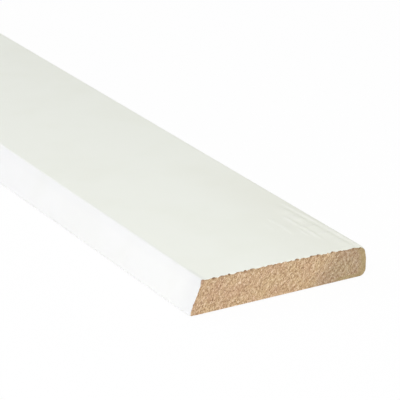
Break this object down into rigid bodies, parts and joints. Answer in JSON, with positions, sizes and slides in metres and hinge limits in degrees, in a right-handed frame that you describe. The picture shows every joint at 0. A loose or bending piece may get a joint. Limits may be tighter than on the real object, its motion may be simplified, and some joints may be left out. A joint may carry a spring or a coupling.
{
  "type": "architrave moulding",
  "caption": "Straight length of white-coated fibreboard door trim with a bevelled edge, a softly crowned face, a rounded edge, a flat back and square sawn ends.",
  "frame": {"origin": "middle of the back face, half way along the length, under the middle of the section's width", "axes": "+X along the length, towards the sawn end that the picture shows; +Y across the width, from the bevelled edge to the rounded edge; +Z out of the face, away from the back"},
  "size_m": [2.2, 0.07, 0.012],
  "materials": {
    "primed_fibreboard": "satin white primer coat on the face and both edges, bare tan board at the sawn ends and the back"
  },
  "bodies": {
    "root": {"architrave": "primed_fibreboard"}
  },
  "joints": []
}
